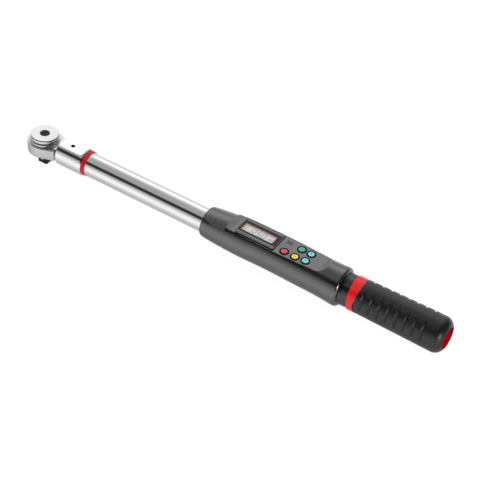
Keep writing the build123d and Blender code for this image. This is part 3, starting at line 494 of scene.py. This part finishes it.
def grip_path():
    """(x, radius) points of the grip from its front end to its mouth."""
    (x_front, _, _), (x_end, _, _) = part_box("grip_sleeve")
    x_front += GRIP_LAP
    turn_x = x_end - GRIP_TURN_LENGTH
    path = []
    for i in range(GRIP_STEPS):
        share = i / GRIP_STEPS
        radius = GRIP_FRONT_R + (GRIP_REAR_R - GRIP_FRONT_R) * share
        path.append((x_front + (turn_x - x_front) * share, radius))
    for i in range(TURN_STEPS + 1):
        angle = radians(GRIP_TURN_ANGLE * i / TURN_STEPS)
        path.append((turn_x + GRIP_TURN_R * sin(angle), GRIP_REAR_R - GRIP_TURN_R * (1 - cos(angle))))
    path += [(x_end - back * MM, GRIP_MOUTH_R + out * MM) for back, out in GRIP_LIP]
    return path


def grip():
    """Rubber grip with rounded finger grooves in three sectors."""
    spokes = []
    for k in range(AROUND_STEPS):
        angle = 360 * k / AROUND_STEPS
        reach = min(abs((angle - middle + 180) % 360 - 180) for middle in SECTORS)
        spokes.append((cos(radians(angle)), sin(radians(angle)), fade(reach, SECTOR_FULL, SECTOR_END)))
    rings = []
    for x, radius in grip_path():
        away = min(abs(x - groove) for groove in GROOVES) / MM
        pillow = PILLOW_RISE * fade(abs(x / MM - PILLOW_MIDDLE), PILLOW_FLAT, PILLOW_END)
        relief = pillow - GROOVE_DEPTH * fade(away, GROOVE_FLOOR, GROOVE_EDGE)
        ring = []
        for across, upright, depth in spokes:
            local = radius + relief * depth * MM
            ring.append((x, local * across, AXIS_Z + local * upright))
        rings.append(ring)
    build = bmesh.new()
    loops(build, rings, capped=False)
    obj = piece("grip_rubber", build, GRIP)
    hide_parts("grip_sleeve")


# ======== springs ========
COIL_STEPS, WIRE_STEPS = 32, 10  # of one turn, and round the wire
X_AXIS, Z_AXIS = 0, 2


def spring(node, along, turns, wire, mover_first=False):
    """Coil in place of a CAD spring."""
    low, high = (Vector(corner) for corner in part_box(node))
    across = (along + 1) % 3
    upright = (along + 2) % 3
    middle = (low + high) / 2
    radius = (high[across] - low[across]) / 2 - wire
    start, stop = middle.copy(), middle.copy()
    start[along] = low[along] + wire
    stop[along] = high[along] - wire
    steps = turns * COIL_STEPS
    rings = []
    for i in range(steps + 1):
        angle = 2 * pi * turns * i / steps
        centre = start.lerp(stop, i / steps)
        ring = []
        for k in range(WIRE_STEPS):
            bend = 2 * pi * k / WIRE_STEPS
            reach = radius + wire * cos(bend)
            point = centre.copy()
            point[along] += wire * sin(bend)
            point[across] += reach * cos(angle)
            point[upright] += reach * sin(angle)
            ring.append(point)
        rings.append(ring)
    build = bmesh.new()
    loops(build, rings)
    coil = piece(f"{node}_coil", build, TOOL_STEEL, body=None)
    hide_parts(node)
    if mover_first:
        start, stop = stop, start
    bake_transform(coil)


display()
bezel_trim()
for key in KEYS:
    key_cap(*key)
grip()
spring("button_spring", Z_AXIS, 6, 0.35 * MM)
spring("pawl_spring", X_AXIS, 5, 0.2 * MM, mover_first=True)
spring("latch_spring", Z_AXIS, 6, 0.3 * MM)


# ======== studio ========
# Brightness by the angle round the tool's long axis: degrees up from -Y, over the top, to +Y.
STRIPES = ((0, 0.23), (8, 0.18), (16, 0.14), (23, 0.10), (28, 0.05), (32, 0.008), (49, 0.008), (54, 0.06),
           (59, 0.10), (86, 0.105), (97, 0.12), (108, 0.16), (118, 0.24), (126, 0.31), (142, 0.31),
           (149, 0.24), (158, 0.17), (170, 0.19), (180, 0.25))
STRIPES_STRENGTH = 4.0
DIM_LEVEL, DIM_START, DIM_STOP = 0.15, 0.02, 0.4  # share of light left beyond the grip's end, by direction X
FLOOR_HALF, FLOOR_SQUARES, FLOOR_PLACE = 6.0, 8, (0.25, 0, -0.0005)
FLOOR_SHADE, FLOOR_GLOW = 0.08, 0.97
CARD_SIDES, CARD_PLACE = (-0.12, 0.62, -0.14, 0.14), (0, 0, -0.0003)
CARD_SHADOW_GLOW, CARD_LIGHT, CARD_START, CARD_STOP = 0.56, 1.08, 0.022, 0.07  # glow at two distances from the axis: dimmer below it as a painted floor shadow
OVERHEAD_LAMP = (2.4, 1.8, 17.0, (0.3, -0.3, 1.7))  # width, depth, watts, place
SIDE_LAMP, SIDE_LAMP_AIM = (0.30, 0.22, 3.0, (1.30, -0.56, 0.28)), (0.42, 0, 0.03)
CAMERA_X, CAMERA_Y, CAMERA_Z = 0.72671, -0.85840, 0.88147
CAMERA_AXIS_Z = 0.024  # height of the tool's axis in the frame that the camera was fitted in
CAMERA_ELEVATION, CAMERA_AZIMUTH, CAMERA_ROLL = 41.5, 28.2, 6.48
CAMERA_LENS, CAMERA_SENSOR, CAMERA_REACH = 91.0, 36.0, 20


def studio_world():
    """Striped light round the tool's long axis, dim beyond its grip end; the camera sees plain white."""
    world = bpy.data.worlds.new("studio")
    bpy.context.scene.world = world
    world.use_nodes = True
    tree = world.node_tree
    back = tree.nodes["Background"]
    back.inputs["Strength"].default_value = STRIPES_STRENGTH
    way = coordinates(tree, "Generated")
    angle = maths(tree, "ARCTAN2", way["Z"], maths(tree, "MULTIPLY", way["Y"], -1.0))
    ramp = tree.nodes.new("ShaderNodeValToRGB")
    tree.links.new(maths(tree, "DIVIDE", angle, pi), ramp.inputs["Fac"])
    elements = ramp.color_ramp.elements
    while len(elements) < len(STRIPES):
        elements.new(0.5)
    for element, (degrees, level) in zip(elements, STRIPES):
        element.position = degrees / 180
        element.color = (level, level, level, 1)
    dimmed = tree.nodes.new("ShaderNodeVectorMath")
    dimmed.operation = "SCALE"
    tree.links.new(ramp.outputs["Color"], dimmed.inputs[0])
    tree.links.new(spread(tree, way["X"], 1.0, DIM_LEVEL, DIM_START, DIM_STOP), dimmed.inputs["Scale"])
    tree.links.new(dimmed.outputs["Vector"], back.inputs["Color"])
    plain = tree.nodes.new("ShaderNodeBackground")
    plain.inputs["Color"].default_value = (1, 1, 1, 1)
    seen = tree.nodes.new("ShaderNodeLightPath")
    choice = tree.nodes.new("ShaderNodeMixShader")
    tree.links.new(seen.outputs["Is Camera Ray"], choice.inputs["Fac"])
    tree.links.new(back.outputs["Background"], choice.inputs[1])
    tree.links.new(plain.outputs["Background"], choice.inputs[2])
    tree.links.new(choice.outputs["Shader"], tree.nodes["World Output"].inputs["Surface"])


def glowing_sheet(name, build, place, shade):
    """Matt sheet on the stage that gives off white light, with its node tree and shader."""
    obj = new_object(name, new_mesh(name, build))
    obj.location = place
    material, tree, shader = new_material(f"{name}_paper")
    shader.inputs["Base Color"].default_value = (shade, shade, shade, 1)
    shader.inputs["Specular IOR Level"].default_value = 0.0
    shader.inputs["Emission Color"].default_value = (1, 1, 1, 1)
    obj.data.materials.append(material)
    return obj, tree, shader


def floor():
    """Plain pale floor under the tool."""
    build = bmesh.new()
    bmesh.ops.create_grid(build, x_segments=FLOOR_SQUARES, y_segments=FLOOR_SQUARES, size=FLOOR_HALF)
    _, _, shader = glowing_sheet("floor", build, FLOOR_PLACE, FLOOR_SHADE)
    shader.inputs["Roughness"].default_value = 0.9
    shader.inputs["Emission Strength"].default_value = FLOOR_GLOW


def floor_shadow_card():
    """Card under the tool, glowing dimmest below the axis as a painted floor shadow, seen only in
    reflections.
    """
    build = bmesh.new()
    build.faces.new([build.verts.new((x, y, 0)) for x, y in rectangle(*CARD_SIDES)])
    obj, tree, shader = glowing_sheet("floor_shadow_card", build, CARD_PLACE, 0.0)
    obj.visible_camera = False
    obj.visible_diffuse = False
    obj.visible_shadow = False
    # painted shadow: the card glows less close to the axis, standing in for the shaded floor under the tool
    across = maths(tree, "ABSOLUTE", coordinates(tree, "Object")["Y"])
    glow = spread(tree, across, CARD_SHADOW_GLOW, CARD_LIGHT, CARD_START, CARD_STOP)
    tree.links.new(glow, shader.inputs["Emission Strength"])


def softbox(name, width, depth, energy, place):
    """Rectangular lamp that shines straight down."""
    data = bpy.data.lights.new(name, "AREA")
    data.shape = "RECTANGLE"
    data.size = width
    data.size_y = depth
    data.energy = energy
    obj = new_object(name, data)
    obj.location = place
    return obj


def lamps():
    """Large soft light above, kept out of reflections, and a low one behind the grip for its glints."""
    overhead = softbox("overhead_softbox", *OVERHEAD_LAMP)
    overhead.visible_glossy = False
    side = softbox("side_softbox", *SIDE_LAMP)
    aim = Vector(SIDE_LAMP_AIM) - side.location
    side.rotation_euler = aim.to_track_quat("-Z", "Y").to_euler()


def camera():
    """Camera above the grip's side of the tool, a little rolled, with a long lens."""
    data = bpy.data.cameras.new("camera")
    data.lens = CAMERA_LENS
    data.sensor_width = CAMERA_SENSOR
    data.clip_end = CAMERA_REACH
    obj = new_object("camera", data)
    obj.location = (CAMERA_X, CAMERA_Y, CAMERA_Z + AXIS_Z - CAMERA_AXIS_Z)
    turn = Euler((radians(90 - CAMERA_ELEVATION), 0, radians(CAMERA_AZIMUTH))).to_matrix()
    roll = Matrix.Rotation(radians(CAMERA_ROLL), 3, "Z")
    obj.rotation_euler = (turn @ roll).to_euler()
    bpy.context.scene.camera = obj


studio_world()
floor()
floor_shadow_card()
lamps()
camera()
bpy.context.scene.view_settings.view_transform = "Standard"
